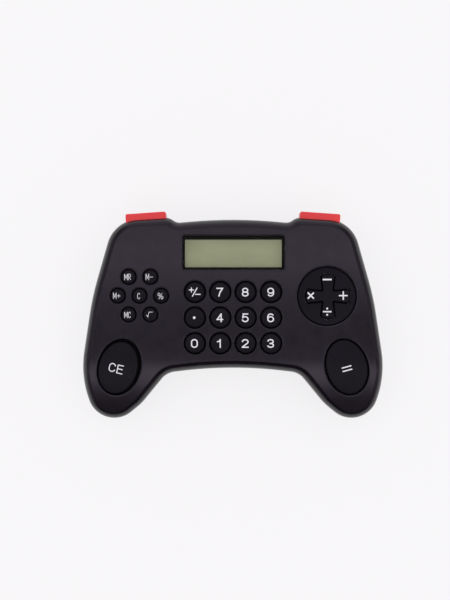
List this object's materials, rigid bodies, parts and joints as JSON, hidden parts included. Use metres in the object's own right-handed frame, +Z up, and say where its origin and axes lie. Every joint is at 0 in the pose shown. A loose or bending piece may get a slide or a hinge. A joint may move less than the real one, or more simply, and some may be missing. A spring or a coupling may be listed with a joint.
{
  "type": "pocket calculator",
  "caption": "Pocket calculator shaped like a two-grip game pad, with number and memory keys, a rocking arithmetic cross and two shoulder buttons.",
  "frame": {"origin": "middle of the bounding box, on the plane the rubber feet rest on", "axes": "+X to the user's right, +Y away from the user towards the display and shoulder buttons, +Z up out of the key face"},
  "size_m": [0.131, 0.0902, 0.0225],
  "materials": {
    "case_plastic": "matte, fine spark texture",
    "key_plastic": "smooth satin",
    "red_plastic": "satin gloss",
    "clear_window": "clear polished acrylic",
    "lcd_cell": "grey-green liquid crystal cell",
    "reflector_film": "satin film",
    "inner_plastic": "moulded",
    "silicone": "soft matte",
    "contact_rubber": "soft matte, striped",
    "foot_rubber": "soft matte",
    "circuit_board": "green solder mask",
    "epoxy": "gloss",
    "component_body": "satin",
    "screw_steel": "zinc plated",
    "spring_steel": "nickel plated",
    "cell_sleeve": "printed shrink sleeve"
  },
  "bodies": {
    "case": {"battery_cell": "spring_steel", "battery_jacket": "cell_sleeve", "battery_spring": "spring_steel", "board_capacitor": "component_body", "board_resistors": "component_body", "board_screws": "screw_steel", "case_screws": "screw_steel", "chip_blob": "epoxy", "dpad_plate": "case_plastic", "dpad_post": "inner_plastic", "keypad_mat": "silicone", "lcd_frame": "inner_plastic", "lcd_glass": "lcd_cell", "lcd_reflector": "reflector_film", "lcd_window": "clear_window", "left_switch": "inner_plastic", "lower_shell": "case_plastic", "main_board": "circuit_board", "positive_contact": "spring_steel", "right_switch": "inner_plastic", "rubber_feet": "foot_rubber", "upper_shell": "case_plastic", "zebra_strip": "contact_rubber"},
    "key_sign_body": {"key_sign": "key_plastic"},
    "key_seven_body": {"key_seven": "key_plastic"},
    "key_eight_body": {"key_eight": "key_plastic"},
    "key_nine_body": {"key_nine": "key_plastic"},
    "key_point_body": {"key_point": "key_plastic"},
    "key_four_body": {"key_four": "key_plastic"},
    "key_five_body": {"key_five": "key_plastic"},
    "key_six_body": {"key_six": "key_plastic"},
    "key_zero_body": {"key_zero": "key_plastic"},
    "key_one_body": {"key_one": "key_plastic"},
    "key_two_body": {"key_two": "key_plastic"},
    "key_three_body": {"key_three": "key_plastic"},
    "key_memory_recall_body": {"key_memory_recall": "key_plastic"},
    "key_memory_minus_body": {"key_memory_minus": "key_plastic"},
    "key_memory_plus_body": {"key_memory_plus": "key_plastic"},
    "key_clear_body": {"key_clear": "key_plastic"},
    "key_percent_body": {"key_percent": "key_plastic"},
    "key_memory_clear_body": {"key_memory_clear": "key_plastic"},
    "key_square_root_body": {"key_square_root": "key_plastic"},
    "key_clear_entry_body": {"key_clear_entry": "key_plastic"},
    "key_equals_body": {"key_equals": "key_plastic"},
    "left_shoulder": {"left_shoulder_button": "red_plastic", "left_plunger": "inner_plastic"},
    "right_shoulder": {"right_shoulder_button": "red_plastic", "right_plunger": "inner_plastic"},
    "rocker_ball": {"dpad_pivot": "spring_steel"},
    "rocker": {"dpad_cross": "key_plastic"},
    "door": {"battery_door": "case_plastic"}
  },
  "joints": [
    {"name": "key_sign_press", "type": "slide", "parent": "case", "child": "key_sign_body", "axis": [0, 0, -1], "range_m": [0, 0.0009], "stiffness_N_per_m": 600, "springref_m": -0.0004, "deforming": ["keypad_mat"]},
    {"name": "key_seven_press", "type": "slide", "parent": "case", "child": "key_seven_body", "axis": [0, 0, -1], "range_m": [0, 0.0009], "stiffness_N_per_m": 600, "springref_m": -0.0004, "deforming": ["keypad_mat"]},
    {"name": "key_eight_press", "type": "slide", "parent": "case", "child": "key_eight_body", "axis": [0, 0, -1], "range_m": [0, 0.0009], "stiffness_N_per_m": 600, "springref_m": -0.0004, "deforming": ["keypad_mat"]},
    {"name": "key_nine_press", "type": "slide", "parent": "case", "child": "key_nine_body", "axis": [0, 0, -1], "range_m": [0, 0.0009], "stiffness_N_per_m": 600, "springref_m": -0.0004, "deforming": ["keypad_mat"]},
    {"name": "key_point_press", "type": "slide", "parent": "case", "child": "key_point_body", "axis": [0, 0, -1], "range_m": [0, 0.0009], "stiffness_N_per_m": 600, "springref_m": -0.0004, "deforming": ["keypad_mat"]},
    {"name": "key_four_press", "type": "slide", "parent": "case", "child": "key_four_body", "axis": [0, 0, -1], "range_m": [0, 0.0009], "stiffness_N_per_m": 600, "springref_m": -0.0004, "deforming": ["keypad_mat"]},
    {"name": "key_five_press", "type": "slide", "parent": "case", "child": "key_five_body", "axis": [0, 0, -1], "range_m": [0, 0.0009], "stiffness_N_per_m": 600, "springref_m": -0.0004, "deforming": ["keypad_mat"]},
    {"name": "key_six_press", "type": "slide", "parent": "case", "child": "key_six_body", "axis": [0, 0, -1], "range_m": [0, 0.0009], "stiffness_N_per_m": 600, "springref_m": -0.0004, "deforming": ["keypad_mat"]},
    {"name": "key_zero_press", "type": "slide", "parent": "case", "child": "key_zero_body", "axis": [0, 0, -1], "range_m": [0, 0.0009], "stiffness_N_per_m": 600, "springref_m": -0.0004, "deforming": ["keypad_mat"]},
    {"name": "key_one_press", "type": "slide", "parent": "case", "child": "key_one_body", "axis": [0, 0, -1], "range_m": [0, 0.0009], "stiffness_N_per_m": 600, "springref_m": -0.0004, "deforming": ["keypad_mat"]},
    {"name": "key_two_press", "type": "slide", "parent": "case", "child": "key_two_body", "axis": [0, 0, -1], "range_m": [0, 0.0009], "stiffness_N_per_m": 600, "springref_m": -0.0004, "deforming": ["keypad_mat"]},
    {"name": "key_three_press", "type": "slide", "parent": "case", "child": "key_three_body", "axis": [0, 0, -1], "range_m": [0, 0.0009], "stiffness_N_per_m": 600, "springref_m": -0.0004, "deforming": ["keypad_mat"]},
    {"name": "key_memory_recall_press", "type": "slide", "parent": "case", "child": "key_memory_recall_body", "axis": [0, 0, -1], "range_m": [0, 0.0009], "stiffness_N_per_m": 600, "springref_m": -0.0004, "deforming": ["keypad_mat"]},
    {"name": "key_memory_minus_press", "type": "slide", "parent": "case", "child": "key_memory_minus_body", "axis": [0, 0, -1], "range_m": [0, 0.0009], "stiffness_N_per_m": 600, "springref_m": -0.0004, "deforming": ["keypad_mat"]},
    {"name": "key_memory_plus_press", "type": "slide", "parent": "case", "child": "key_memory_plus_body", "axis": [0, 0, -1], "range_m": [0, 0.0009], "stiffness_N_per_m": 600, "springref_m": -0.0004, "deforming": ["keypad_mat"]},
    {"name": "key_clear_press", "type": "slide", "parent": "case", "child": "key_clear_body", "axis": [0, 0, -1], "range_m": [0, 0.0009], "stiffness_N_per_m": 600, "springref_m": -0.0004, "deforming": ["keypad_mat"]},
    {"name": "key_percent_press", "type": "slide", "parent": "case", "child": "key_percent_body", "axis": [0, 0, -1], "range_m": [0, 0.0009], "stiffness_N_per_m": 600, "springref_m": -0.0004, "deforming": ["keypad_mat"]},
    {"name": "key_memory_clear_press", "type": "slide", "parent": "case", "child": "key_memory_clear_body", "axis": [0, 0, -1], "range_m": [0, 0.0009], "stiffness_N_per_m": 600, "springref_m": -0.0004, "deforming": ["keypad_mat"]},
    {"name": "key_square_root_press", "type": "slide", "parent": "case", "child": "key_square_root_body", "axis": [0, 0, -1], "range_m": [0, 0.0009], "stiffness_N_per_m": 600, "springref_m": -0.0004, "deforming": ["keypad_mat"]},
    {"name": "key_clear_entry_press", "type": "slide", "parent": "case", "child": "key_clear_entry_body", "axis": [0, 0, -1], "range_m": [0, 0.0009], "stiffness_N_per_m": 600, "springref_m": -0.0004, "deforming": ["keypad_mat"]},
    {"name": "key_equals_press", "type": "slide", "parent": "case", "child": "key_equals_body", "axis": [0, 0, -1], "range_m": [0, 0.0009], "stiffness_N_per_m": 600, "springref_m": -0.0004, "deforming": ["keypad_mat"]},
    {"name": "left_shoulder_press", "type": "slide", "parent": "case", "child": "left_shoulder", "axis": [0.0689, -0.9976, 0], "range_m": [0, 0.001], "stiffness_N_per_m": 700, "springref_m": -0.0003},
    {"name": "right_shoulder_press", "type": "slide", "parent": "case", "child": "right_shoulder", "axis": [-0.0689, -0.9976, 0], "range_m": [0, 0.001], "stiffness_N_per_m": 700, "springref_m": -0.0003},
    {"name": "dpad_up_down", "type": "hinge", "parent": "case", "child": "rocker_ball", "pos_m": [0.0411, 0.00835, 0.018], "axis": [1, 0, 0], "range_deg": [-2.6, 2.6], "stiffness_Nm_per_rad": 0.05, "deforming": ["keypad_mat"]},
    {"name": "dpad_left_right", "type": "hinge", "parent": "rocker_ball", "child": "rocker", "pos_m": [0.0411, 0.00835, 0.018], "axis": [0, 1, 0], "range_deg": [-2.6, 2.6], "stiffness_Nm_per_rad": 0.05, "deforming": ["keypad_mat"]},
    {"name": "battery_door_hinge", "type": "hinge", "parent": "case", "child": "door", "pos_m": [-0.0277, 0.0086, 0.0008], "axis": [0, 1, 0], "range_deg": [0, 40]}
  ]
}
